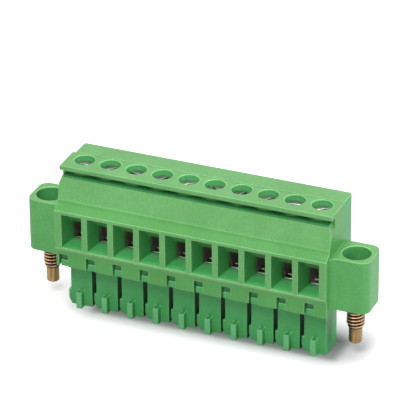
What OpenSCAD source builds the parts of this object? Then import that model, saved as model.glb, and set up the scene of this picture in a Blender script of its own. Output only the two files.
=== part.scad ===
// Pluggable screw terminal block with a screw flange at each end.
// Millimetres. Origin under the middle of the body, on the plane of the plug towers' feet:
// +X runs along the row of poles, -Y is the conductor side, +Z is the screw side.

/* [Poles] */
// Number of poles
poles = 10; // [2:1:16]
// Spacing of the poles
pitch = 3.81; // [3.75:0.01:4.4]
// Body beyond the centre of each outer pole
end_margin = 2.5; // [2.4:0.05:3.5]

/* [Housing heights, from the feet up] */
// Plug towers below the housing
tower_h = 7.1; // [6:0.1:9]
// Plain band with the snap windows
band_h = 2.65; // [2.5:0.05:3.5]
// Sill between the band and the conductor windows
sill_h = 0.4; // [0.3:0.05:1]
// Conductor window
window_h = 5; // [4.6:0.1:6]
// Strip above the conductor windows
header_h = 0.5; // [0.3:0.05:1]
// Flare between the strip and the slope
flare_h = 0.95; // [0.6:0.05:1.5]
// Slope below the groove
slope_h = 3.55; // [3.2:0.05:5]
// Groove below the lip
groove_h = 0.7; // [0.4:0.05:1]
// Lip at the top
lip_t = 0.65; // [0.5:0.05:1.2]

/* [Housing depths, from the front face back] */
// Whole depth of the housing
body_depth = 9.5; // [9.2:0.1:12]
// Band behind the front face
band_back = 0.3; // [0.1:0.05:0.6]
// Foot of the slope behind the front face
crease_back = 1.2; // [0.8:0.05:1.6]
// Lip and head of the slope behind the front face
lip_back = 2.05; // [1.7:0.05:2.3]
// Groove behind the lip
groove_depth = 1.1; // [0.7:0.05:1.2]
// Clamp screw axis behind the front face
screw_back = 4.9; // [4.8:0.05:5.2]
// Seam between the two mouldings behind the front face
seam_back = 6.6; // [6.5:0.05:6.9]
// Step of the rear moulding's left end
rear_step = 0.4; // [0.1:0.05:0.7]
// Chamfer on the rear moulding's upright edges
rear_chamfer = 0.2; // [0.1:0.05:0.8]
// Wall of the band
band_wall = 1; // [0.8:0.05:1.2]
// End wall beside the rear moulding's floor
end_wall = 0.95; // [0.7:0.05:1]
// Width of the chamfer on the upper front corners
corner_w = 0.45; // [0.1:0.05:0.8]
// Height of the chamfer on the upper front corners
corner_h = 1.1; // [0.4:0.05:2]
// Width and depth of the seam line on the top
seam_line = 0.12; // [0.06:0.01:0.2]

/* [Conductor entries] */
// Width of a conductor window
window_w = 2.96; // [2.7:0.02:3.1]
// Straight part of the entry
entry_straight = 1.2; // [0.8:0.05:1.6]
// Whole depth of the funnel
funnel_depth = 2.8; // [2.4:0.05:2.9]
// Width of the throat behind the funnel
throat_w = 2.3; // [2:0.05:2.4]
// Height of the throat behind the funnel
throat_h = 2.8; // [2.6:0.05:3]

/* [Clamps] */
// Width of the clamping sleeve
sleeve_w = 2.9; // [2.8:0.02:3]
// Depth of the clamping sleeve, front to back
sleeve_d = 2.9; // [2.4:0.05:3]
// Side walls of the clamping sleeve
sleeve_wall = 0.4; // [0.3:0.05:0.5]
// Floor of the clamping sleeve
sleeve_floor = 0.6; // [0.4:0.05:0.65]
// Threaded top of the clamping sleeve
sleeve_top = 1.5; // [1.2:0.05:1.8]
// Chamfer on the upper corners of the sleeve
sleeve_chamfer = 0.35; // [0.1:0.05:0.4]
// Travel of the sleeve between open and closed
sleeve_travel = 2; // [1.6:0.1:2.1]
// Room left above the raised sleeve
sleeve_headroom = 0.2; // [0.1:0.05:0.4]
// Thickness of the current bar
bar_t = 0.8; // [0.6:0.05:1]
// Diameter of the screw well
well_d = 2.8; // [2.6:0.05:3]
// Height of the screw head
head_h = 1.1; // [0.9:0.05:1.3]
// Screw head below the top of the housing
head_recess = 0.8; // [0.5:0.05:1]
// Diameter of the screw thread
thread_d = 2; // [1.8:0.05:2.1]
// Wall around a screw well, seen in the groove
well_wall = 0.75; // [0.5:0.05:0.8]
// Width of the screw slots
slot_w = 0.5; // [0.4:0.05:0.6]
// Depth of the screw slots
slot_depth = 0.6; // [0.4:0.05:0.8]

/* [Plug towers] */
// Width of a tower
tower_w = 3.18; // [3:0.02:3.2]
// Depth of a tower, front to back
tower_d = 3.95; // [3.6:0.05:4.2]
// Front of the towers behind the front face
tower_back = 2.8; // [2.5:0.05:3]
// Bottom wall of a tower
tower_floor = 0.8; // [0.5:0.05:1.2]
// Side of the square pin entry
pin_entry = 1.3; // [1.1:0.05:1.5]
// Widening of the pin entry at the foot
entry_flare = 0.3; // [0.1:0.05:0.4]
// Width of the coding rib
rib_w = 0.8; // [0.6:0.05:1]
// Coding rib in front of the tower
rib_d = 1; // [0.6:0.05:1.3]
// Height of the coding rib
rib_h = 2.45; // [1.5:0.05:3.5]
// Wall around the pocket in the top of the coding rib
rib_wall = 0.15; // [0.1:0.05:0.25]
// Depth of the pocket in the top of the coding rib
rib_pocket = 0.8; // [0.3:0.05:1.2]
// Side fin of a tower, in width
fin_w = 0.35; // [0.2:0.05:0.45]
// Side fin of a tower, front to back
fin_d = 0.8; // [0.5:0.05:1.2]
// Side fin of a tower, in height
fin_h = 2.2; // [1.5:0.05:3]
// Width of the chamfer at a tower's lower left edge
foot_chamfer_w = 0.45; // [0.2:0.05:0.6]
// Height of the chamfer at a tower's lower left edge
foot_chamfer_h = 0.9; // [0.4:0.05:1.2]

/* [Snap windows] */
// Spacing of the snap windows
snap_pitch = 3.97; // [3.9:0.01:4.05]
// Middle of the row of snap windows, left of the middle of the body
snap_shift = 0.72; // [0.4:0.02:0.8]
// Width of a snap window
snap_w = 1.3; // [1.1:0.05:1.5]
// Height of a snap window
snap_h = 1.8; // [1.5:0.05:2]
// Slit beside the snap tab
snap_slit = 0.25; // [0.15:0.01:0.35]
// Snap tab behind the face of the band
snap_back = 0.12; // [0.05:0.01:0.3]
// Height of the lower part of the snap tab
snap_step = 0.95; // [0.7:0.05:1.1]
// Gap between the two parts of the snap tab
snap_gap = 0.18; // [0.1:0.01:0.3]

/* [Contacts] */
// Thickness of the contact strip
strip_t = 0.45; // [0.35:0.05:0.5]
// Thickness of the contact springs
spring_t = 0.35; // [0.25:0.05:0.45]
// Width of the contact springs
spring_w = 1.6; // [1.2:0.05:1.8]
// Gap between the contact springs at the mouth
spring_mouth = 1.1; // [0.9:0.05:1.2]
// Gap between the contact springs where they grip the pin
spring_grip = 0.7; // [0.5:0.05:0.9]
// Contact springs above the bottom wall of the tower
spring_lift = 0.3; // [0.2:0.05:0.6]

/* [Flanges] */
// Flange screw axis beyond the centre of the outer pole
flange_offset = 5.1; // [5:0.05:5.6]
// Flange beyond the flange screw axis
flange_edge = 2.5; // [2.35:0.05:3]
// Front of the flanges behind the front face
flange_back = 1.9; // [1.2:0.05:2.2]
// Depth of the flanges, front to back
flange_d = 5.5; // [5.2:0.1:6.5]
// Flange screw axis behind the front of the flange
flange_screw_back = 2.6; // [2.45:0.05:2.8]
// Bottom of the flanges above the feet of the towers
flange_z = 7.8; // [7.2:0.1:8.5]
// Height of the flanges
flange_h = 7.7; // [7:0.1:9]
// Radius of the outer upright edges of the flanges
flange_r = 1.3; // [0.5:0.1:2]
// Radius of the fillet between flange and body
flange_fillet = 0.9; // [0.3:0.1:1.2]
// Diameter of the bore for the flange screw's head
flange_bore_d = 3.9; // [3.8:0.05:4.2]
// Wall below the flange screw's head
flange_seat = 1.6; // [1.2:0.1:2.5]
// Diameter of the flange screw's thread
flange_thread_d = 2.5; // [2.3:0.05:2.6]
// Diameter of the flange screw's neck, too thin for the thread to pass back through the hole
flange_neck_d = 2; // [1.8:0.05:2.05]
// Play between the flange and the flange screw's thread
flange_play = 0.3; // [0.2:0.05:0.5]
// Height of the flange screw's head
flange_head_h = 2.6; // [2:0.1:3.2]
// Thread of the flange screw below the flange
flange_thread_l = 3.5; // [2.4:0.1:3.9]
// Diameter of the flange screw's dog point
dog_d = 1.8; // [1.5:0.05:1.9]
// Length of the flange screw's dog point
dog_l = 2.2; // [1.5:0.1:2.8]
// Width of the flange screw's slot
flange_slot_w = 0.8; // [0.6:0.05:1]
// Depth of the flange screw's slot
flange_slot_depth = 1; // [0.7:0.05:1.4]

/* [Fits] */
// Clearance of parts that slide or turn, on each side
running = 0.05; // [0.03:0.01:0.08]
// Clearance of screw heads in their wells, on each side
head_gap = 0.1; // [0.05:0.01:0.1]

/* [Hidden] */
$fn = 48;
pole_names = [for (i = [1:poles]) i];

// Lets a cut run past the face that it opens
cut = 0.5;

// Plan
half_w = (poles - 1) * pitch / 2 + end_margin;
front_y = -body_depth / 2;
rear_y = body_depth / 2;
seam_y = front_y + seam_back;
screw_y = front_y + screw_back;
function pole_x(i) = (i - (poles + 1) / 2) * pitch;
function snap_x(i) = (i - (poles + 1) / 2) * snap_pitch - snap_shift;

// Levels of the outside, from the feet up
ridge_z = tower_h + band_h;
window_z = ridge_z + sill_h;
header_z = window_z + window_h;
flare_z = header_z + header_h;
crease_z = flare_z + flare_h;
slope_z = crease_z + slope_h;
lip_z = slope_z + groove_h;
top_z = lip_z + lip_t;

// Clamp: the open sleeve's floor lies level with the throat, and the bar on top of the throat
bar_z = window_z + throat_h;
bar_top = bar_z + bar_t;
sleeve_z = window_z - sleeve_floor;
floor_top = sleeve_z - running;
sleeve_roof_z = bar_top + 2 * running;
sleeve_h = sleeve_roof_z + sleeve_top - sleeve_z;
channel_w = sleeve_w + 2 * running;
channel_front = screw_y - sleeve_d / 2 - running;
channel_top = sleeve_z + sleeve_h + sleeve_travel + sleeve_headroom;
head_z = top_z - head_recess - head_h;
shoulder_z = head_z - running;
head_d = well_d - 2 * head_gap;
passage_d = thread_d + 2 * running;
bar_w = sleeve_w - 2 * sleeve_wall - 2 * running;

// Rear moulding's floor, and the contact's seat in it
floor_front = front_y + band_back + band_wall;
floor_half = half_w - end_wall;
tower_front = front_y + tower_back;
tower_y = tower_front + tower_d / 2;
slot_half = bar_w / 2 + running;
foot_z = floor_top - strip_t - running;
leg_y = seam_y;
cell_d = spring_w + 2 * running;
cell_w = spring_mouth + 2 * spring_t + 2 * running;

// Flanges
flange_x = (poles - 1) * pitch / 2 + flange_offset;
flange_out = flange_x + flange_edge;
flange_front = front_y + flange_back;
flange_y = flange_front + flange_screw_back;
flange_top = flange_z + flange_h;
flange_seat_z = flange_z + flange_seat;
flange_head_d = flange_bore_d - 2 * head_gap;
flange_hole_d = flange_neck_d + 2 * head_gap;

housing_green = [0.38, 0.66, 0.38];
plug_green = [0.30, 0.58, 0.36];
screw_silver = [0.74, 0.74, 0.72];
sleeve_nickel = [0.66, 0.66, 0.64];
contact_tin = [0.70, 0.68, 0.62];
flange_copper = [0.62, 0.42, 0.28];

// Extrudes a (y, z) outline along X, centred on x = 0
module along_x(width) {
    rotate([90, 0, 90])
        linear_extrude(width, center = true) children();
}

// Box between two corners
module box(low, high) {
    translate(low) cube(high - low);
}

// Upright cylinder between two heights
module post(x, y, z0, z1, d) {
    translate([x, y, z0]) cylinder(d = d, h = z1 - z0);
}

// ---- Upper housing: lip, slope, conductor windows, band and flanges ----

// Side view of the upper housing
module front_outline() {
    polygon([
        [front_y + band_back, tower_h],
        [front_y + band_back, ridge_z - band_back],
        [front_y, ridge_z],
        [front_y, flare_z],
        [front_y + crease_back, crease_z],
        [front_y + lip_back, slope_z],
        [front_y + lip_back, top_z],
        [seam_y, top_z],
        [seam_y, tower_h]
    ]);
}

// Groove below the lip, with the walls of the screw wells standing in it
module lip_groove() {
    difference() {
        box([-half_w - cut, front_y + lip_back - cut, slope_z],
            [half_w + cut, front_y + lip_back + groove_depth, lip_z]);
        for (i = pole_names)
            post(pole_x(i), screw_y, slope_z - cut, lip_z + cut, well_d + 2 * well_wall);
    }
}

// Conductor entry: straight window, funnel and throat into the clamp channel
module conductor_entry(x) {
    throat_y = front_y + funnel_depth;
    straight_y = front_y + entry_straight;
    box([x - window_w / 2, front_y - cut, window_z],
        [x + window_w / 2, straight_y, header_z]);
    intersection() {
        translate([x, 0, 0]) along_x(window_w)
            polygon([
                [straight_y, window_z], [straight_y, header_z],
                [throat_y, window_z + throat_h], [throat_y, window_z]
            ]);
        translate([x, 0, window_z]) linear_extrude(window_h)
            polygon([
                [-window_w / 2, straight_y], [window_w / 2, straight_y],
                [throat_w / 2, throat_y], [-throat_w / 2, throat_y]
            ]);
    }
    box([x - throat_w / 2, throat_y, window_z],
        [x + throat_w / 2, channel_front + running, window_z + throat_h]);
}

// Channel of the clamping sleeve, with the screw's passage and well above it
module clamp_channel(x) {
    box([x - channel_w / 2, channel_front, tower_h - cut],
        [x + channel_w / 2, seam_y + cut, channel_top]);
    post(x, screw_y, channel_top - cut, top_z, passage_d);
    post(x, screw_y, shoulder_z, top_z + cut, well_d);
}

// Open space for the rear moulding's floor
module floor_space() {
    box([-floor_half, floor_front, tower_h - cut],
        [floor_half, seam_y + cut, floor_top]);
}

// Chamfer on the upper front corner of one end; side is -1 or 1
module upper_corner(side) {
    slope_lean = (lip_back - crease_back) / slope_h;
    corner_y = front_y + lip_back - corner_h * slope_lean;
    translate([0, front_y - cut, 0]) rotate([-90, 0, 0])
        linear_extrude(corner_y + corner_h * slope_lean - front_y + groove_depth + cut)
            polygon([
                [side * (half_w - corner_w), -lip_z],
                [side * (half_w + cut), -lip_z],
                [side * (half_w + cut), corner_h - slope_z],
                [side * half_w, corner_h - slope_z],
                [side * (half_w - corner_w), -slope_z]
            ]);
}

// Plan of the right flange
module flange_plan() {
    rear = flange_front + flange_d;
    translate([half_w - end_wall, flange_front])
        square([flange_out - flange_r - half_w + end_wall, seam_y - flange_front]);
    translate([half_w, flange_front])
        square([flange_out - flange_r - half_w, flange_d]);
    translate([half_w, flange_front + flange_r])
        square([flange_out - half_w, flange_d - 2 * flange_r]);
    for (y = [flange_front + flange_r, rear - flange_r])
        translate([flange_out - flange_r, y]) circle(flange_r);
    difference() {
        translate([half_w - end_wall, flange_front - flange_fillet])
            square([end_wall + flange_fillet, flange_fillet]);
        translate([half_w + flange_fillet, flange_front - flange_fillet])
            circle(flange_fillet);
    }
}

module flange_bores(side) {
    post(side * flange_x, flange_y, flange_seat_z, flange_top + cut, flange_bore_d);
    post(side * flange_x, flange_y, flange_z - cut, flange_seat_z + cut, flange_hole_d);
}

module snap_window(x) {
    box([x - snap_w / 2, front_y - cut, tower_h - cut],
        [x + snap_w / 2, floor_front + cut, tower_h + snap_h]);
}

module seam_line_cut() {
    box([-half_w - cut, seam_y - seam_line, top_z - seam_line],
        [half_w + cut, seam_y + cut, top_z + cut]);
}

module upper_housing() {
    color(housing_green)
    difference() {
        union() {
            along_x(2 * half_w) front_outline();
            translate([0, 0, flange_z]) linear_extrude(flange_h) flange_plan();
            translate([0, 0, flange_z]) linear_extrude(flange_h) mirror([1, 0]) flange_plan();
        }
        lip_groove();
        for (i = pole_names) {
            conductor_entry(pole_x(i));
            clamp_channel(pole_x(i));
            snap_window(snap_x(i));
        }
        floor_space();
        seam_line_cut();
        for (side = [-1, 1]) {
            upper_corner(side);
            flange_bores(side);
        }
    }
}

// ---- Plug housing: rear wall, floor and plug towers ----

// Plan of the rear wall, with its stepped left end
module rear_plan() {
    left = rear_step - half_w;
    polygon([
        [left, seam_y],
        [left, rear_y - rear_chamfer],
        [left + rear_chamfer, rear_y],
        [half_w - rear_chamfer, rear_y],
        [half_w, rear_y - rear_chamfer],
        [half_w, seam_y]
    ]);
}

// Snap tab in two parts, standing in a snap window
module snap_tab(x) {
    right = x + snap_w / 2;
    left = x - snap_w / 2 + snap_slit;
    face = front_y + band_back + snap_back;
    box([left, face, tower_h], [right, floor_front + cut, tower_h + snap_step]);
    box([left, face + snap_back, tower_h + snap_step + snap_gap],
        [right, floor_front + cut, tower_h + snap_h]);
}

// One plug tower with its fin and coding rib
module plug_tower(x) {
    left = x - tower_w / 2;
    difference() {
        union() {
            box([left, tower_front, 0],
                [left + tower_w, tower_front + tower_d, tower_h]);
            box([max(left, -floor_half), tower_front, tower_h - cut],
                [min(left + tower_w, floor_half), tower_front + tower_d, tower_h + cut]);
            box([left - fin_w, tower_front, 0],
                [left + cut, tower_front + fin_d, fin_h]);
            box([x - rib_w / 2, tower_front - rib_d, 0],
                [x + rib_w / 2, tower_front + cut, rib_h]);
        }
        // Chamfer at the lower left edge, running front to back
        translate([left - fin_w, tower_front + tower_d + cut, 0]) rotate([90, 0, 0])
            linear_extrude(tower_d + rib_d + 2 * cut)
                polygon([
                    [-cut, -cut], [foot_chamfer_w, -cut],
                    [foot_chamfer_w, 0], [0, foot_chamfer_h], [-cut, foot_chamfer_h]
                ]);
        // Pocket in the top of the coding rib
        box([x - rib_w / 2 + rib_wall, tower_front - rib_d + rib_wall, rib_h - rib_pocket],
            [x + rib_w / 2 - rib_wall, tower_front, rib_h + cut]);
    }
}

// Pin entry, contact chamber and strip seat of one pole
module contact_chamber(x) {
    box([x - pin_entry / 2, tower_y - pin_entry / 2, -cut],
        [x + pin_entry / 2, tower_y + pin_entry / 2, tower_floor + cut]);
    // Flared mouth of the pin entry
    mouth = pin_entry / 2 + entry_flare;
    intersection() {
        translate([x, 0, 0]) along_x(2 * mouth)
            polygon([
                [tower_y - mouth, 0], [tower_y + mouth, 0],
                [tower_y + pin_entry / 2, entry_flare], [tower_y - pin_entry / 2, entry_flare]
            ]);
        translate([x, 2 * rear_y, 0]) rotate([90, 0, 0]) linear_extrude(4 * rear_y)
            polygon([
                [-mouth, 0], [mouth, 0],
                [pin_entry / 2, entry_flare], [-pin_entry / 2, entry_flare]
            ]);
    }
    box([x - cell_w / 2, tower_y - cell_d / 2, tower_floor],
        [x + cell_w / 2, tower_y + cell_d / 2, floor_top + cut]);
    box([x - slot_half, tower_y - cell_d / 2, foot_z],
        [x + slot_half, leg_y + strip_t + running, floor_top + cut]);
    box([x - slot_half, leg_y - cut, foot_z],
        [x + slot_half, leg_y + strip_t + running, bar_top + running]);
}

module plug_housing() {
    color(plug_green)
    difference() {
        union() {
            translate([0, 0, tower_h]) linear_extrude(top_z - tower_h) rear_plan();
            box([-floor_half, floor_front, tower_h],
                [floor_half, seam_y + cut, floor_top]);
            for (i = pole_names) {
                plug_tower(pole_x(i));
                snap_tab(snap_x(i));
            }
        }
        for (i = pole_names)
            contact_chamber(pole_x(i));
    }
}

// ---- Clamp of one pole: screw, sleeve and contact ----

// Captive slotted screw; its tip bears on the current bar
module clamp_screw(x) {
    tip = bar_top + running;
    lead = thread_d / 10;
    color(screw_silver)
    translate([x, screw_y, 0])
    difference() {
        union() {
            post(0, 0, head_z, head_z + head_h, head_d);
            post(0, 0, tip + lead, head_z + cut, thread_d);
            translate([0, 0, tip])
                cylinder(d1 = thread_d - 2 * lead, d2 = thread_d, h = lead);
        }
        box([-head_d, -slot_w / 2, head_z + head_h - slot_depth],
            [head_d, slot_w / 2, head_z + head_h + cut]);
    }
}

// Sleeve around the current bar, shown open; the screw draws it up
module clamp_sleeve(x) {
    side = sleeve_w / 2;
    roof = sleeve_z + sleeve_h;
    inner = side - sleeve_wall;
    color(sleeve_nickel)
    difference() {
        translate([x, screw_y + sleeve_d / 2, 0]) rotate([90, 0, 0])
            linear_extrude(sleeve_d)
                polygon([
                    [-side, sleeve_z], [side, sleeve_z],
                    [side, roof - sleeve_chamfer], [side - sleeve_chamfer, roof],
                    [sleeve_chamfer - side, roof], [-side, roof - sleeve_chamfer]
                ]);
        box([x - inner, screw_y - sleeve_d, window_z],
            [x + inner, screw_y + sleeve_d, sleeve_roof_z]);
        post(x, screw_y, sleeve_roof_z - cut, roof + cut, passage_d);
    }
}

// One spring leaf of the contact, bowed in towards the pin; side is -1 or 1
module spring_leaf(side) {
    low = tower_floor + spring_lift;
    grip_z = low + (foot_z - low) / 4;
    mouth = spring_mouth / 2;
    grip = spring_grip / 2;
    rotate([90, 0, 0]) linear_extrude(spring_w, center = true)
        polygon([
            [side * mouth, low], [side * grip, grip_z], [side * mouth, foot_z + running],
            [side * (mouth + spring_t), foot_z + running],
            [side * (grip + spring_t), grip_z], [side * (mouth + spring_t), low]
        ]);
}

// Current bar through the sleeve, leg down the rear wall, foot in the floor, springs
module contact(x) {
    half = bar_w / 2;
    bar_front = channel_front + 2 * running;
    color(contact_tin)
    union() {
        box([x - half, bar_front, bar_z], [x + half, leg_y + strip_t, bar_top]);
        box([x - half, leg_y, foot_z], [x + half, leg_y + strip_t, bar_z + bar_t / 2]);
        box([x - half, tower_y - spring_w / 2, foot_z],
            [x + half, leg_y + strip_t, foot_z + strip_t]);
        for (side = [-1, 1])
            translate([x, tower_y, 0]) spring_leaf(side);
    }
}

// ---- Flange screw: slotted head in the bore, neck, thread and dog point below ----

module flange_screw(side) {
    thread_top = flange_z - flange_play;
    thread_end = flange_z - flange_thread_l;
    seat = flange_seat_z + running;
    head_top = seat + flange_head_h;
    lead = (flange_thread_d - dog_d) / 2;
    color(flange_copper)
    translate([side * flange_x, flange_y, 0])
    difference() {
        union() {
            post(0, 0, seat, head_top, flange_head_d);
            post(0, 0, thread_top - cut, seat + cut, flange_neck_d);
            post(0, 0, thread_end + lead, thread_top, flange_thread_d);
            translate([0, 0, thread_end])
                cylinder(d1 = dog_d, d2 = flange_thread_d, h = lead);
            post(0, 0, thread_end - dog_l, thread_end + cut, dog_d);
        }
        box([-flange_head_d, -flange_slot_w / 2, head_top - flange_slot_depth],
            [flange_head_d, flange_slot_w / 2, head_top + cut]);
    }
}

upper_housing();
plug_housing();
for (i = pole_names) {
    clamp_screw(pole_x(i));
    clamp_sleeve(pole_x(i));
    contact(pole_x(i));
}
flange_screw(-1);  // flange_screw_left
flange_screw(1);  // flange_screw_right
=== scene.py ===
import math

import bmesh
import bpy
from mathutils import Matrix, Vector
from mathutils.bvhtree import BVHTree


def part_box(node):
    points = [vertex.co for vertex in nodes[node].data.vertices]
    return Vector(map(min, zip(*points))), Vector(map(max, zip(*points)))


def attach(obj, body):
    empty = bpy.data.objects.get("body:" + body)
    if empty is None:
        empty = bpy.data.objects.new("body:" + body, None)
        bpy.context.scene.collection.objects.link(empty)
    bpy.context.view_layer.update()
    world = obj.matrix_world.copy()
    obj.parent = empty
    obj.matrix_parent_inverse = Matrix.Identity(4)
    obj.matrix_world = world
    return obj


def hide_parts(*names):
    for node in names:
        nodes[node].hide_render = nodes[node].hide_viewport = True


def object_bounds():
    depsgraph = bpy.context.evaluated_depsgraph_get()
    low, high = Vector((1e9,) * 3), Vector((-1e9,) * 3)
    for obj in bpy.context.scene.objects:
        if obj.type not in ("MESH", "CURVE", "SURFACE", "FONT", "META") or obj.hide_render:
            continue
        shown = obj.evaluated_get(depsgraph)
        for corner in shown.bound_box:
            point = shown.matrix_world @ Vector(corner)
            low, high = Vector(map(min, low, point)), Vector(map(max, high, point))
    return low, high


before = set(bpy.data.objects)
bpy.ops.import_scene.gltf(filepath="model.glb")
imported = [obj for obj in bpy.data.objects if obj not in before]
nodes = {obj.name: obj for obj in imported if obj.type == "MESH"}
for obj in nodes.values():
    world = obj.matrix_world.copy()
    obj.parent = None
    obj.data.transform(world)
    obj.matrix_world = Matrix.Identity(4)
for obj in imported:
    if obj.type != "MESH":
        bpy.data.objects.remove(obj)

cad_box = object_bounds()
MM = 0.001


# ---------------------------------------------------------------- camera

def place_camera(aim, azimuth, elevation, roll, distance, lens, lift, aside):
    """A camera at an azimuth and elevation in degrees round a point, rolled and moved a little."""
    a, e, r = (math.radians(v) for v in (azimuth, elevation, roll))
    back = Vector((math.sin(a) * math.cos(e), -math.cos(a) * math.cos(e), math.sin(e)))
    level = Vector((math.cos(a), math.sin(a), 0))
    rise = back.cross(level)
    right = math.cos(r) * level + math.sin(r) * rise
    up = math.cos(r) * rise - math.sin(r) * level
    centre = Vector(aim) + up * lift + right * aside
    data = bpy.data.cameras.new("camera")
    data.lens = lens
    data.sensor_width = 36
    data.clip_start = 0.01
    data.clip_end = 20
    camera = bpy.data.objects.new("camera", data)
    camera.matrix_world = Matrix.Translation(centre + back * distance) @ Matrix(
        (right, up, back)).transposed().to_4x4()
    bpy.context.scene.collection.objects.link(camera)
    bpy.context.scene.camera = camera


place_camera(aim=(0, 0.25 * MM, 10.5 * MM), azimuth=22.9, elevation=28.1, roll=-0.4,
             distance=0.450, lens=294.6, lift=6.7 * MM, aside=0.16 * MM)
bpy.context.scene.view_settings.view_transform = "Standard"


# ---------------------------------------------------------------- materials

def new_material(name):
    """A node material, its Principled shader, and short ways to add and link nodes."""
    material = bpy.data.materials.new(name)
    material.use_nodes = True
    tree = material.node_tree
    shader = next(n for n in tree.nodes if n.type == "BSDF_PRINCIPLED")

    def add(kind, **values):
        node = tree.nodes.new(kind)
        for key, value in values.items():
            if key in node.inputs:
                node.inputs[key].default_value = value
            else:
                setattr(node, key, value)
        return node

    return material, tree.links.new, shader, add


def noise(add, link, place, scale, detail, roughness, distortion=0.0):
    """The strength of a noise that follows a piece's own coordinates."""
    node = add("ShaderNodeTexNoise", Scale=scale, Detail=detail, Roughness=roughness,
               Distortion=distortion)
    link(place, node.inputs["Vector"])
    return node.outputs["Fac"]


def drawn_out(add, link, place, stretch):
    """Coordinates scaled along each axis, so that a noise on them is drawn out."""
    node = add("ShaderNodeMapping")
    node.inputs["Scale"].default_value = stretch
    link(place, node.inputs["Vector"])
    return node.outputs["Vector"]


def ramp(add, low, high, start=0.0, end=1.0):
    """A colour ramp between two linear colours."""
    node = add("ShaderNodeValToRGB")
    node.color_ramp.elements[0].position = start
    node.color_ramp.elements[0].color = (*low, 1)
    node.color_ramp.elements[1].position = end
    node.color_ramp.elements[1].color = (*high, 1)
    return node


def shaded(add, link, colour, shade, shader):
    """The base colour is one colour multiplied by another."""
    tint = add("ShaderNodeMix", data_type="RGBA", blend_type="MULTIPLY")
    tint.inputs["Factor"].default_value = 1.0
    link(colour.outputs["Color"], tint.inputs["A"])
    link(shade.outputs["Color"], tint.inputs["B"])
    link(tint.outputs["Result"], shader.inputs["Base Color"])


def dull_patches(add, link, pattern, low, high, shader):
    """The roughness follows a pattern between two levels."""
    patch = add("ShaderNodeMapRange")
    patch.inputs["To Min"].default_value = low
    patch.inputs["To Max"].default_value = high
    link(pattern, patch.inputs["Value"])
    link(patch.outputs["Result"], shader.inputs["Roughness"])


def relief(add, link, pattern, strength, depth, shader):
    """A fine bump follows a pattern."""
    bump = add("ShaderNodeBump", Strength=strength, Distance=depth)
    link(pattern, bump.inputs["Height"])
    link(bump.outputs["Normal"], shader.inputs["Normal"])


def moulded_plastic(name, dark, light, roughness, grain):
    """Satin moulded plastic: slow flow clouds in its colour, fine spark-eroded grain on it."""
    material, link, shader, add = new_material(name)
    place = add("ShaderNodeTexCoord").outputs["Object"]
    flow = noise(add, link, place, scale=160.0, detail=3.0, roughness=0.55, distortion=0.8)
    fleck = noise(add, link, place, scale=5200.0, detail=2.0, roughness=0.6)
    pits = noise(add, link, place, scale=9500.0, detail=2.0, roughness=0.5)
    colour = ramp(add, dark, light, start=0.32, end=0.68)
    shade = ramp(add, (0.86, 0.87, 0.86), (1.09, 1.08, 1.09), start=0.3, end=0.7)
    link(flow, colour.inputs["Fac"])
    link(fleck, shade.inputs["Fac"])
    shaded(add, link, colour, shade, shader)
    dull_patches(add, link, flow, roughness - 0.05, roughness + 0.07, shader)
    relief(add, link, pits, grain, 0.03 * MM, shader)
    shader.inputs["Specular IOR Level"].default_value = 0.34
    return material


def worked_metal(name, dark, light, roughness, stretch, grain):
    """Turned or stamped metal: tool lines drawn out along one way, patches of dull and bright."""
    material, link, shader, add = new_material(name)
    place = add("ShaderNodeTexCoord").outputs["Object"]
    lines = noise(add, link, drawn_out(add, link, place, stretch),
                  scale=3200.0, detail=3.0, roughness=0.6)
    cloud = noise(add, link, place, scale=700.0, detail=2.0, roughness=0.5)
    colour = ramp(add, dark, light, start=0.3, end=0.7)
    link(cloud, colour.inputs["Fac"])
    link(colour.outputs["Color"], shader.inputs["Base Color"])
    dull_patches(add, link, lines, roughness - 0.06, roughness + 0.10, shader)
    relief(add, link, lines, grain, 0.02 * MM, shader)
    shader.inputs["Metallic"].default_value = 1.0
    return material


def screw_copper(axis_x, axis_y):
    """Coppered screw: painted shade in the roots of the thread, a painted highlight on its crests,
    painted streaks of reflection.
    """
    material, link, shader, add = new_material("flange_screw_copper")
    place = add("ShaderNodeTexCoord").outputs["Object"]

    # Distance from the axis of either screw, which stand as far left as right
    parts = add("ShaderNodeSeparateXYZ")
    link(place, parts.inputs["Vector"])
    either = add("ShaderNodeMath", operation="ABSOLUTE")
    link(parts.outputs["X"], either.inputs[0])
    across = add("ShaderNodeCombineXYZ")
    for source, axis, target in ((either.outputs[0], axis_x, "X"),
                                 (parts.outputs["Y"], axis_y, "Y")):
        away = add("ShaderNodeMath", operation="SUBTRACT")
        away.inputs[1].default_value = axis
        link(source, away.inputs[0])
        link(away.outputs[0], across.inputs[target])
    radius = add("ShaderNodeVectorMath", operation="LENGTH")
    link(across.outputs["Vector"], radius.inputs[0])
    share = add("ShaderNodeMapRange")
    share.inputs["From Min"].default_value = 0.8 * MM
    share.inputs["From Max"].default_value = 1.3 * MM
    link(radius.outputs["Value"], share.inputs["Value"])

    # Dog point, thread root, thread flank and thread crest, from the axis outwards
    # The dark root is painted shade, the bright crest a painted highlight.
    dog, root, flank, crest = ((0.36, 0.235, 0.10), (0.06, 0.034, 0.020),
                               (0.22, 0.125, 0.07), (0.92, 0.68, 0.48))
    tone = ramp(add, dog, crest, start=0.0, end=0.90)
    for at, colour in ((0.24, dog), (0.40, root), (0.58, flank)):
        stop = tone.color_ramp.elements.new(at)
        stop.color = (*colour, 1)
    link(share.outputs["Result"], tone.inputs["Fac"])

    # Drawn-out streaks make the colour darker and lighter: painted streaks of reflection.
    streaks = noise(add, link, drawn_out(add, link, place, stretch=(1, 1, 0.08)),
                    scale=2600.0, detail=3.0, roughness=0.65)
    shade = ramp(add, (0.45, 0.42, 0.40), (1.30, 1.30, 1.25), start=0.36, end=0.66)
    link(streaks, shade.inputs["Fac"])
    shaded(add, link, tone, shade, shader)
    dull_patches(add, link, streaks, 0.22, 0.40, shader)
    relief(add, link, streaks, 0.3, 0.02 * MM, shader)
    shader.inputs["Metallic"].default_value = 1.0
    return material


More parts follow.
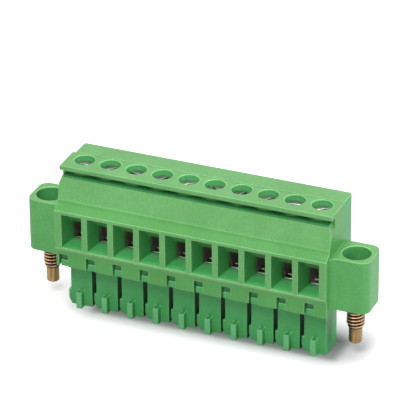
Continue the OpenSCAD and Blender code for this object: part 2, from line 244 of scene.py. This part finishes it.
# Each plastic: the dark and the light of its clouds, its roughness and its grain
green = moulded_plastic(
    "housing_plastic", (0.128, 0.405, 0.118), (0.158, 0.470, 0.146), 0.42, 0.35)
# A brighter copy for rounds and painted strips: painted highlight.
green_edge = moulded_plastic(
    "housing_edge", (0.260, 0.620, 0.230), (0.300, 0.680, 0.270), 0.32, 0.15)
# A lighter copy for the slope: painted light.
green_slope = moulded_plastic(
    "housing_slope", (0.166, 0.490, 0.152), (0.202, 0.560, 0.188), 0.46, 0.50)
# A darker copy for the flare strip: painted shade.
green_flare = moulded_plastic(
    "housing_flare", (0.086, 0.335, 0.074), (0.110, 0.390, 0.098), 0.46, 0.35)
# A lighter, bluer copy for recesses: painted light.
green_recess = moulded_plastic(
    "housing_recess", (0.098, 0.450, 0.138), (0.124, 0.515, 0.168), 0.44, 0.35)
# A copy with more red and blue for up-facing tops: painted sheen.
green_top = moulded_plastic(
    "housing_top", (0.150, 0.405, 0.134), (0.184, 0.470, 0.166), 0.42, 0.35)
# A more saturated, slightly darker copy for the band and the end faces: painted shade.
green_band = moulded_plastic(
    "housing_band", (0.106, 0.405, 0.097), (0.131, 0.470, 0.120), 0.42, 0.35)
# A lighter copy for the flanges: painted light.
green_flange = moulded_plastic(
    "housing_flange", (0.120, 0.452, 0.123), (0.149, 0.526, 0.152), 0.42, 0.35)
# A lighter copy for the window floors: painted light.
green_floor = moulded_plastic(
    "window_floor", (0.112, 0.560, 0.168), (0.141, 0.640, 0.205), 0.46, 0.35)
# A dark copy for the groove, the slope's top strip and the groove's front edge: painted shade.
green_groove = moulded_plastic(
    "housing_groove", (0.034, 0.230, 0.062), (0.044, 0.270, 0.080), 0.50, 0.35)
plug_green = moulded_plastic(
    "plug_plastic", (0.076, 0.420, 0.122), (0.100, 0.485, 0.150), 0.42, 0.35)
# A brighter copy for the plug's rounds, rib fronts and rib pockets: painted highlight and painted
# light.
plug_edge = moulded_plastic(
    "plug_edge", (0.170, 0.580, 0.230), (0.205, 0.640, 0.270), 0.34, 0.15)
# A dark copy for the plug's narrow gaps and snap catch: painted shade.
plug_recess = moulded_plastic(
    "plug_recess", (0.030, 0.150, 0.047), (0.042, 0.180, 0.061), 0.48, 0.35)

# Each metal: dark and light patches, roughness, how its tool lines are drawn out, their depth
# The steel is darker and greener than bare steel: painted shade and painted reflection of the
# green wells.
steel = worked_metal(
    "screw_steel", (0.17, 0.19, 0.165), (0.33, 0.35, 0.31), 0.42, (1, 1, 0.12), 0.25)
# A brighter copy for the screw heads' rounds: painted highlight.
bright_steel = worked_metal(
    "screw_edge", (0.50, 0.50, 0.48), (0.70, 0.70, 0.68), 0.26, (1, 1, 0.3), 0.10)
# The nickel is darkened: painted shade.
nickel = worked_metal(
    "sleeve_nickel", (0.13, 0.10, 0.085), (0.20, 0.16, 0.14), 0.50, (0.15, 1, 1), 0.20)
# A bright copy for the bars on the cage floors: painted highlight.
bright_nickel = worked_metal(
    "sleeve_edge", (0.66, 0.65, 0.62), (0.82, 0.81, 0.78), 0.22, (0.3, 1, 1), 0.10)
# A lighter, duller copy for the cage's inside faces: painted light.
inner_nickel = worked_metal(
    "sleeve_inside", (0.36, 0.31, 0.29), (0.47, 0.42, 0.39), 0.60, (0.15, 1, 1), 0.20)
tin = worked_metal(
    "contact_tin", (0.42, 0.39, 0.36), (0.58, 0.55, 0.51), 0.42, (1, 1, 0.15), 0.20)
# A brighter copy for the contacts' rounds: painted highlight.
bright_tin = worked_metal(
    "contact_edge", (0.60, 0.58, 0.54), (0.74, 0.72, 0.68), 0.30, (1, 1, 0.3), 0.10)


def axis_of(node):
    """Where the upright axis of a screw or sleeve stands."""
    low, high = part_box(node)
    return (low[0] + high[0]) / 2, (low[1] + high[1]) / 2


copper = screw_copper(*axis_of("flange_screw_right"))


# ---------------------------------------------------------------- shaping

# Places in a piece's list of materials that all pieces share
# EDGE holds each piece's brighter copy of its material: a painted highlight on rounds, rims and
# strips.
BODY, EDGE = 0, 1

# Points this close are one point, and edges shorter than a sliver are closed up
SAME_POINT = 1e-7
SLIVER = 0.055 * MM

# A distance that is too small to see
HAIR = 0.02 * MM

# Turns between two faces, in degrees: flat still, rounded, shaded as sharp, at a bore's rim
FLAT_TURN, CLEAR_TURN, SHARP_TURN, RIM_TURN = 1, 28, 40, 60


def cad_copy(node):
    """A merged copy of a CAD solid's mesh, with its flat faces whole again."""
    bm = bmesh.new()
    bm.from_mesh(nodes[node].data)
    bmesh.ops.remove_doubles(bm, verts=bm.verts, dist=SAME_POINT)
    bmesh.ops.dissolve_limit(bm, angle_limit=math.radians(FLAT_TURN),
                             verts=bm.verts, edges=bm.edges)
    bmesh.ops.remove_doubles(bm, verts=bm.verts, dist=SLIVER)
    return bm


def join_in(bm, part):
    """The mesh of a part is added to a piece, and the part is used up."""
    mesh = bpy.data.meshes.new("part")
    part.to_mesh(mesh)
    part.free()
    bm.from_mesh(mesh)
    bpy.data.meshes.remove(mesh)


def bevel_round(bm, edges, width, segments):
    """A round of some width on edges, and the faces that it is made of."""
    return bmesh.ops.bevel(bm, geom=edges, offset=width, offset_type="OFFSET",
                           segments=segments, profile=0.5, affect="EDGES",
                           clamp_overlap=False, material=-1)["faces"]


def turns_by(edge, angle):
    """Whether two faces meet at an edge and turn there by more than an angle in degrees."""
    return edge.is_manifold and edge.calc_face_angle() > math.radians(angle)


def round_edges(bm, width, highlight_edges=True):
    """A small round on every edge that turns clearly; where wanted, its narrow faces get the
    brighter edge material as a painted highlight.
    """
    rounds = bevel_round(bm, [e for e in bm.edges if turns_by(e, CLEAR_TURN)], width, 2)
    for face in rounds:
        longest = max(e.calc_length() for e in face.edges)
        narrow = face.calc_area() < 1.3 * width * longest
        if highlight_edges and narrow:
            face.material_index = EDGE


def round_rims(bm, height, reach, width):
    """A wider and brighter round on the rims of the screws' bores in a flat top; the brightness is
    a painted highlight.
    """
    axes = [axis_of(node) for node in nodes if "screw" in node]
    rims = []
    for edge in bm.edges:
        start, end = (v.co for v in edge.verts)
        flat = max(abs(start.z - height), abs(end.z - height)) <= HAIR
        if not flat or not turns_by(edge, RIM_TURN):
            continue
        middle, along = (start + end) / 2, (end - start).normalized()
        arms = (Vector((middle.x - x, middle.y - y, 0)) for x, y in axes)
        if any(arm.length < reach and abs(arm.normalized().dot(along)) < 0.1 for arm in arms):
            rims.append(edge)
    for face in bevel_round(bm, rims, width, 4):
        face.material_index = EDGE


def mark_recesses(bm, reach, index, sideways=0.0):
    """Faces that look across a narrow space at their own solid get a material of their own, with
    the recess's light and shade painted into its colour.
    """
    tree = BVHTree.FromBMesh(bm)
    for face in bm.faces:
        if abs(face.normal.x) < sideways:
            continue
        centre = face.calc_center_median()
        if tree.ray_cast(centre + face.normal * HAIR, face.normal, reach)[0]:
            face.material_index = index


def paint_strip(bm, chosen, low, high, index):
    """The chosen faces are cut at two heights, and the strip between gets its own material."""
    for height in (low, high):
        cut = [f for f in bm.faces if chosen(f)]
        parts = set(cut) | {e for f in cut for e in f.edges} | {v for f in cut for v in f.verts}
        bmesh.ops.bisect_plane(bm, geom=list(parts), plane_co=(0, 0, height), plane_no=(0, 0, 1))
    for face in bm.faces:
        if chosen(face) and low < face.calc_center_median().z < high:
            face.material_index = index


def keep_above(bm, height):
    """What is left of a closed mesh above a height, with its cut closed."""
    cut = bmesh.ops.bisect_plane(bm, geom=bm.verts[:] + bm.edges[:] + bm.faces[:],
                                 plane_co=(0, 0, height), plane_no=(0, 0, 1), clear_inner=True)
    rim = [e for e in cut["geom_cut"] if isinstance(e, bmesh.types.BMEdge)]
    bmesh.ops.holes_fill(bm, edges=rim, sides=0)


def turned_core(bm, axis_x, axis_y, outline, steps=48):
    """A turned solid: (radius, height) points spun round an upright axis, joined to a piece."""
    core = bmesh.new()
    chain = [core.verts.new((axis_x + r, axis_y, z)) for r, z in outline]
    edges = [core.edges.new(pair) for pair in zip(chain, chain[1:])]
    bmesh.ops.spin(core, geom=chain + edges, cent=(axis_x, axis_y, 0), axis=(0, 0, 1),
                   dvec=(0, 0, 0), angle=math.tau, steps=steps, use_merge=True)
    bmesh.ops.remove_doubles(core, verts=core.verts, dist=SAME_POINT)
    bmesh.ops.recalc_face_normals(core, faces=core.faces)
    join_in(bm, core)


def thread_ridge(bm, axis_x, axis_y, top, bottom, outer, root, pitch, steps):
    """A right-hand thread's ridge, wound round an upright core and run out at both ends."""
    half, flat, foot = pitch * 0.42, pitch * 0.07, root - 0.05 * MM
    section = [(foot, -half), (outer, -flat), (outer, flat), (foot, half)]
    ridge = bmesh.new()
    start = ridge.faces.new([ridge.verts.new((axis_x + r, axis_y, top + z)) for r, z in section])
    turns = (top - bottom) / pitch
    count = max(4, round(turns * steps))
    run_out = steps * 0.5
    bmesh.ops.spin(ridge, geom=[start], cent=(axis_x, axis_y, 0), axis=(0, 0, -1),
                   dvec=(0, 0, -(top - bottom) / count), angle=math.tau * turns,
                   steps=count, use_duplicate=False)
    for number, vert in enumerate(ridge.verts):
        step = number // len(section)
        share = min(1, step / run_out, (count - step) / run_out)
        away = Vector((vert.co.x - axis_x, vert.co.y - axis_y, 0))
        if away.length > root:
            reach = root + (away.length - root) * max(0.02, share)
            vert.co += away.normalized() * (reach - away.length)
    bmesh.ops.recalc_face_normals(ridge, faces=ridge.faces)
    join_in(bm, ridge)


def settle_order(bm):
    """Points, edges and faces in an order that comes from the shape alone, alike on each run."""
    def place(vert):
        return [round(c / MM, 5) for c in vert.co]

    def corners(part):
        return sorted(v.index for v in part.verts)

    for row, key in ((bm.verts, place), (bm.edges, corners), (bm.faces, corners)):
        for index, part in enumerate(sorted(row, key=key)):
            part.index = index
        row.sort()


def finish_piece(bm, name, body, materials, replaces):
    """The finished piece of a bmesh: smooth where it turns gently, riding on its body."""
    settle_order(bm)
    mesh = bpy.data.meshes.new(name)
    bm.to_mesh(mesh)
    bm.free()
    for material in materials:
        mesh.materials.append(material)
    for face in mesh.polygons:
        face.use_smooth = True
    mesh.set_sharp_from_angle(angle=math.radians(SHARP_TURN))
    piece = bpy.data.objects.new(name, mesh)
    bpy.context.scene.collection.objects.link(piece)
    even = piece.modifiers.new("even_normals", "WEIGHTED_NORMAL")
    even.keep_sharp = True
    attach(piece, body)
    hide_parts(replaces)


# ---------------------------------------------------------------- upper housing

SLOPE, FLARE, RECESS, TOP, BAND, FLANGE, WINDOW_FLOOR, GROOVE = range(2, 10)

# Heights above the towers' feet
band_top = 9.85 * MM
sill_low, sill_high = 9.90 * MM, 10.08 * MM
window_foot = 10.0 * MM
window_half = 12.5 * MM
tops_low = 15.0 * MM
flange_top = 15.5 * MM
header_top = 15.6 * MM
crease_low, crease_high = 16.4 * MM, 16.8 * MM
shade_low = 19.93 * MM
bend_low, bend_high = 20.0 * MM, 20.16 * MM
groove_low, groove_high = 20.1 * MM, 20.9 * MM
slope_end = 20.2 * MM
lip_foot = 20.8 * MM
housing_top = 21.5 * MM

# Places from left to right and from front to back
side_wall = 19.5 * MM
flange_start = 19.7 * MM
crease_length = 30 * MM
crease_rear = -3.3 * MM
bend_rear = -2.5 * MM
window_back = -1.9 * MM
groove_back_front, groove_back_rear = -1.63 * MM, -1.55 * MM


def on_front(face):
    """Whether a face lies in the foremost plane of the housing."""
    return face.normal.y < -0.99 and abs(face.calc_center_median().y - cad_box[0][1]) < HAIR


def on_slope(face):
    """Whether a face belongs to the slope below the groove."""
    return (face.normal.y < -0.5 and 0.15 < face.normal.z < 0.50
            and header_top < face.calc_center_median().z < slope_end)


def plain_material(normal, middle):
    """The material of a face of the upper housing that is neither a round nor a recess: the top
    copy adds a painted sheen, the flange and slope copies are painted lighter, the band and flare
    copies painted darker.
    """
    if normal.z > 0.9 and middle.z > tops_low:
        return TOP
    if abs(middle.x) > flange_start:
        return FLANGE
    if abs(normal.x) > 0.9 and abs(middle.x) > side_wall:
        return BAND
    if normal.y < -0.9 and middle.z < header_top:
        return BAND if middle.z < band_top else SLOPE
    if normal.y < -0.5 and header_top < middle.z < slope_end:
        return SLOPE if normal.z < 0.5 else FLARE
    if normal.y < -0.9 and middle.z > lip_foot:
        return SLOPE
    return BODY


def recess_material(normal, middle):
    """The material of a face of the upper housing that looks across a narrow space: window floors
    painted lighter, the groove painted darker, other recesses painted lighter and bluer.
    """
    if normal.z > 0.3 and middle.y < window_back and window_foot < middle.z < window_half:
        return WINDOW_FLOOR
    in_groove = groove_low < middle.z < groove_high
    if in_groove and (normal.z > 0.9 or groove_back_front < middle.y < groove_back_rear):
        return GROOVE
    return RECESS


upper = cad_copy("upper_housing")
crease = [e for e in upper.edges if e.is_manifold and e.calc_length() > crease_length
          and all(crease_low < v.co.z < crease_high and v.co.y < crease_rear for v in e.verts)]
bevel_round(upper, crease, width=0.5 * MM, segments=5)
round_rims(upper, flange_top, reach=2.2 * MM, width=0.13 * MM)
round_rims(upper, housing_top, reach=1.6 * MM, width=0.13 * MM)
round_edges(upper, width=0.07 * MM)
# A strip along the foot of the windows gets the brighter edge material: a painted highlight.
paint_strip(upper, on_front, sill_low, sill_high, EDGE)
# The top strip of the slope under the groove gets the dark groove copy: painted shade.
paint_strip(upper, on_slope, shade_low, slope_end, GROOVE)
mark_recesses(upper, reach=5.5 * MM, index=RECESS)
for face in upper.faces:
    middle = face.calc_center_median()
    if face.material_index == RECESS:
        face.material_index = recess_material(face.normal, middle)
    elif face.material_index == BODY:
        face.material_index = plain_material(face.normal, middle)
    # Rounds along the groove's front edge get the dark groove copy: painted shade.
    elif (face.material_index == EDGE and bend_low < middle.z < bend_high
          and middle.y < bend_rear):
        face.material_index = GROOVE
finish_piece(upper, "upper_shell", "housing",
             (green, green_edge, green_slope, green_flare, green_recess,
              green_top, green_band, green_flange, green_floor, green_groove), "upper_housing")


# ---------------------------------------------------------------- plug housing

PLUG_TOP, PLUG_RECESS = 2, 4

# Heights above the towers' feet
pocket_low, pocket_high = 1.64 * MM, 2.4 * MM
rib_top = 2 * MM
catch_low, catch_high = 8.2 * MM, 9.0 * MM
rear_strip_low = 21 * MM

# Places from front to back
catch_rear = -3 * MM
rib_front = -2.9 * MM
tower_front = -1.97 * MM
rib_round = 0.05 * MM

plug = cad_copy("plug_housing")
round_edges(plug, width=0.07 * MM)
# The towers' side faces that look into narrow gaps get the dark copy: painted shade.
mark_recesses(plug, reach=1.5 * MM, index=PLUG_RECESS, sideways=0.7)
foremost = min(f.calc_center_median().y for f in plug.faces
               if f.calc_center_median().z < rib_top)
for face in plug.faces:
    normal, middle = face.normal, face.calc_center_median()
    rear_strip = normal.z > 0.3 and middle.z > rear_strip_low
    rib_pocket = rib_front < middle.y < tower_front and pocket_low < middle.z < pocket_high
    rib_face = normal.y < -0.7 and middle.z < rib_top and middle.y < foremost + rib_round
    snap_catch = normal.y < -0.7 and catch_low < middle.z < catch_high and middle.y < catch_rear
    # The rear strip on top takes the housing's top and edge copies: painted sheen and painted
    # highlight.
    if rear_strip and face.material_index in (BODY, EDGE):
        face.material_index += PLUG_TOP
    # Rib pockets get the brighter edge copy as painted light, rib fronts as a painted highlight.
    elif rib_pocket or rib_face:
        face.material_index = EDGE
    # The snap catch's front gets the dark recess copy: painted shade.
    elif snap_catch:
        face.material_index = PLUG_RECESS
finish_piece(plug, "plug_shell", "housing",
             (plug_green, plug_edge, green_top, green_edge, plug_recess), "plug_housing")


# ---------------------------------------------------------------- clamps and contacts

# How far each clamp screw's slot is turned, in degrees
SLOT_TURNS = (4, 50, -14, 62, 38, -40, 66, 55, 8, 34)
CAGE_INSIDE = 2


def clamp_screw(number, turn):
    """A clamp screw: the solid's slotted head on a threaded shank, its slot turned a little."""
    node = "clamp_screw_%d" % number
    x, y = axis_of(node)
    tip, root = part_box(node)[0][2], 0.80 * MM
    thread_top, head_foot, neck = 19.1 * MM, 19.3 * MM, 19.45 * MM
    bm = cad_copy(node)
    keep_above(bm, head_foot)
    bmesh.ops.rotate(bm, verts=bm.verts, cent=(x, y, 0),
                     matrix=Matrix.Rotation(math.radians(turn), 3, "Z"))
    round_edges(bm, width=0.07 * MM)
    turned_core(bm, x, y, [(0, neck), (root, neck), (root, tip + 0.25 * MM),
                           (root - 0.2 * MM, tip), (0, tip)], steps=32)
    thread_ridge(bm, x, y, thread_top, tip + 0.35 * MM, outer=1.0 * MM, root=root,
                 pitch=0.4 * MM, steps=20)
    finish_piece(bm, "clamp_screw_body_%d" % number, node,
                 (steel, bright_steel), node)


def bar_across(bm, x, y, z, length, deep, high, sag):
    """A small bar lying across a cage's floor, bowed down in its middle, bright as a painted
    highlight.
    """
    strip = bmesh.ops.create_grid(bm, x_segments=8, y_segments=1, size=0.5)["verts"]
    bmesh.ops.scale(bm, verts=strip, vec=(length, deep, 1))
    bmesh.ops.translate(bm, verts=strip, vec=(x, y, z))
    top = list({f for v in strip for f in v.link_faces})
    for vert in strip:
        vert.co.z += high - sag * (1 - (2 * (vert.co.x - x) / length) ** 2)
    grown = bmesh.ops.extrude_face_region(bm, geom=top)["geom"]
    for part in grown:
        if isinstance(part, bmesh.types.BMVert):
            part.co.z = z - 0.05 * MM
    for vert in strip:
        if vert.co.y < y:
            vert.co.y += 0.5 * high
    faces = set(top) | {f for v in strip for f in v.link_faces}
    faces |= {part for part in grown if isinstance(part, bmesh.types.BMFace)}
    for face in faces:
        face.material_index = EDGE
    bmesh.ops.recalc_face_normals(bm, faces=list(faces))


def clamp_cage(number):
    """A clamp's cage: darkened as painted shade, dull and lighter inside as painted light, with a
    small bar on the front of its floor and a cross rib, both bright as painted highlights.
    """
    node = "clamp_sleeve_%d" % number
    x, front, floor = axis_of(node)[0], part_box(node)[0][1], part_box(node)[0][2] + 0.6 * MM
    bm = cad_copy(node)
    round_edges(bm, width=0.05 * MM, highlight_edges=False)
    mark_recesses(bm, reach=6 * MM, index=CAGE_INSIDE)
    bar_across(bm, x, front + 0.16 * MM, floor,
               length=2.02 * MM, deep=0.16 * MM, high=0.10 * MM, sag=0)
    bar_across(bm, x, front + 1.25 * MM, floor,
               length=1.7 * MM, deep=0.07 * MM, high=0.13 * MM, sag=0.07 * MM)
    finish_piece(bm, "clamp_cage_%d" % number, node,
                 (nickel, bright_nickel, inner_nickel), node)


def contact_blade(number):
    """A contact: the solid with its edges rounded."""
    node = "contact_%d" % number
    bm = cad_copy(node)
    round_edges(bm, width=0.03 * MM)
    finish_piece(bm, "contact_blade_%d" % number, "housing",
                 (tin, bright_tin), node)


for number, turn in enumerate(SLOT_TURNS, 1):
    clamp_screw(number, turn)
    clamp_cage(number)
    contact_blade(number)


# ---------------------------------------------------------------- flange screws

def flange_screw(side):
    """A captive flange screw: slotted head, plain neck, threaded stretch and long dog point."""
    node = "flange_screw_" + side
    x, y = axis_of(node)
    root, outer, dog = 1.00 * MM, 1.25 * MM, 0.90 * MM
    thread_top, head_foot, neck = 7.35 * MM, 7.9 * MM, 8.1 * MM
    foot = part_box(node)[0][2]
    shoulder = foot + 2.2 * MM
    bm = cad_copy(node)
    keep_above(bm, head_foot)
    round_edges(bm, width=0.08 * MM)
    turned_core(bm, x, y, [
        (0, neck), (root, neck), (root, shoulder + 0.12 * MM), (dog, shoulder),
        (dog, foot + 0.2 * MM), (dog - 0.06 * MM, foot + 0.07 * MM), (dog - 0.2 * MM, foot),
        (0, foot)])
    thread_ridge(bm, x, y, thread_top, shoulder + 0.25 * MM, outer, root,
                 pitch=0.5 * MM, steps=36)
    finish_piece(bm, "flange_screw_body_" + side, node,
                 (copper, copper), node)


flange_screw("left")
flange_screw("right")


# ---------------------------------------------------------------- floor and light

def seen_ray(add, link):
    """1 for a ray from the camera, or one seen in gloss or through glass."""
    path = add("ShaderNodeLightPath")
    seen = path.outputs["Is Camera Ray"]
    for kind in ("Is Glossy Ray", "Is Transmission Ray"):
        either = add("ShaderNodeMath", operation="MAXIMUM")
        link(seen, either.inputs[0])
        link(path.outputs[kind], either.inputs[1])
        seen = either.outputs[0]
    return seen


def beyond_box(add, link, middle, half):
    """The distance of a point of the floor from a box, which is 0 inside it."""
    point = add("ShaderNodeTexCoord").outputs["Object"]
    for operation, value in (("SUBTRACT", middle), ("ABSOLUTE", None), ("SUBTRACT", half),
                             ("MAXIMUM", (0, 0, 0))):
        node = add("ShaderNodeVectorMath", operation=operation)
        if value:
            node.inputs[1].default_value = value
        link(point, node.inputs[0])
        point = node.outputs["Vector"]
    distance = add("ShaderNodeVectorMath", operation="LENGTH")
    link(point, distance.inputs[0])
    return distance.outputs["Value"]


def eased(add, link, value, reach, low=0.0, high=1.0):
    """A level that eases from low to high while a distance grows to its reach."""
    node = add("ShaderNodeMapRange", interpolation_type="SMOOTHSTEP")
    node.inputs["From Max"].default_value = reach
    node.inputs["To Min"].default_value = low
    node.inputs["To Max"].default_value = high
    link(value, node.inputs["Value"])
    return node.outputs["Result"]


def make_floor(near, far, reach):
    """A pale floor that keeps the shadow under the plug, deepened by a painted contact shadow near
    the towers' feet, and runs out to plain white round it.
    """
    bm = bmesh.new()
    bmesh.ops.create_grid(bm, x_segments=1, y_segments=1, size=3.0)
    mesh = bpy.data.meshes.new("floor")
    bm.to_mesh(mesh)
    bm.free()
    floor = bpy.data.objects.new("floor", mesh)
    bpy.context.scene.collection.objects.link(floor)
    material, link, shader, add = new_material("pale_floor")
    shader.inputs["Roughness"].default_value = 0.9
    shader.inputs["Specular IOR Level"].default_value = 0.0
    seen = seen_ray(add, link)
    distance = beyond_box(add, link, middle=(2.5 * MM, 0, 0), half=(17 * MM, 2.1 * MM, 0))

    # Seen directly, the floor glows more the farther it is from the plug: painted light that
    # whitens the cast shadow away from the plug
    glow = add("ShaderNodeEmission")
    glow.inputs["Color"].default_value = (1, 1, 1, 1)
    strength = add("ShaderNodeMath", operation="MULTIPLY")
    link(seen, strength.inputs[0])
    link(eased(add, link, distance, reach, near, far), strength.inputs[1])
    link(strength.outputs[0], glow.inputs["Strength"])

    # It is greyer close to the towers' feet, a painted contact shadow, and plain grey where it
    # only lights the object
    foot = ramp(add, (0.42, 0.405, 0.425), (0.88, 0.84, 0.885))
    link(eased(add, link, distance, 0.26 * reach), foot.inputs["Fac"])
    paint = add("ShaderNodeMix", data_type="RGBA")
    paint.inputs["A"].default_value = (0.40, 0.40, 0.41, 1)
    link(seen, paint.inputs["Factor"])
    link(foot.outputs["Color"], paint.inputs["B"])
    link(paint.outputs["Result"], shader.inputs["Base Color"])

    both = add("ShaderNodeAddShader")
    link(shader.outputs[0], both.inputs[0])
    link(glow.outputs[0], both.inputs[1])
    out = next(n for n in material.node_tree.nodes if n.type == "OUTPUT_MATERIAL")
    link(both.outputs[0], out.inputs["Surface"])
    mesh.materials.append(material)


def make_world(level):
    """A white surround where it is seen, and a softer one where it lights the object."""
    world = bpy.data.worlds.new("surround")
    world.use_nodes = True
    bpy.context.scene.world = world
    tree = world.node_tree
    back = next(n for n in tree.nodes if n.type == "BACKGROUND")
    back.inputs["Color"].default_value = (1, 1, 1, 1)

    def add(kind, **values):
        node = tree.nodes.new(kind)
        for key, value in values.items():
            setattr(node, key, value)
        return node

    strength = add("ShaderNodeMapRange")
    strength.inputs["To Min"].default_value = level
    strength.inputs["To Max"].default_value = 1.0
    tree.links.new(seen_ray(add, tree.links.new), strength.inputs["Value"])
    tree.links.new(strength.outputs["Result"], back.inputs["Strength"])


def soft_lamp(name, place, size, level, tint=(1, 1, 1)):
    """A square soft lamp, whose level is what it adds to a white surface facing it."""
    place, aim = Vector(place), Vector((0, 0, 10 * MM))
    data = bpy.data.lights.new(name, "AREA")
    data.shape = "SQUARE"
    data.size = size
    data.color = tint
    data.energy = level * math.pi ** 2 * (place - aim).length_squared
    lamp = bpy.data.objects.new(name, data)
    lamp.matrix_world = Matrix.Translation(place) @ (
        place - aim).to_track_quat("Z", "Y").to_matrix().to_4x4()
    bpy.context.scene.collection.objects.link(lamp)


make_floor(near=0.0, far=0.55, reach=7 * MM)
make_world(level=0.16)
soft_lamp("key_lamp", (0.00, -0.03, 0.56), size=0.22, level=0.50, tint=(1.0, 1.0, 0.97))
soft_lamp("right_lamp", (0.55, 0.06, 0.17), size=0.26, level=0.36, tint=(0.92, 1.0, 1.06))
soft_lamp("front_lamp", (0.00, -0.32, 0.44), size=0.22, level=0.44)
soft_lamp("fill_lamp", (0.18, -0.46, 0.20), size=0.16, level=0.10)
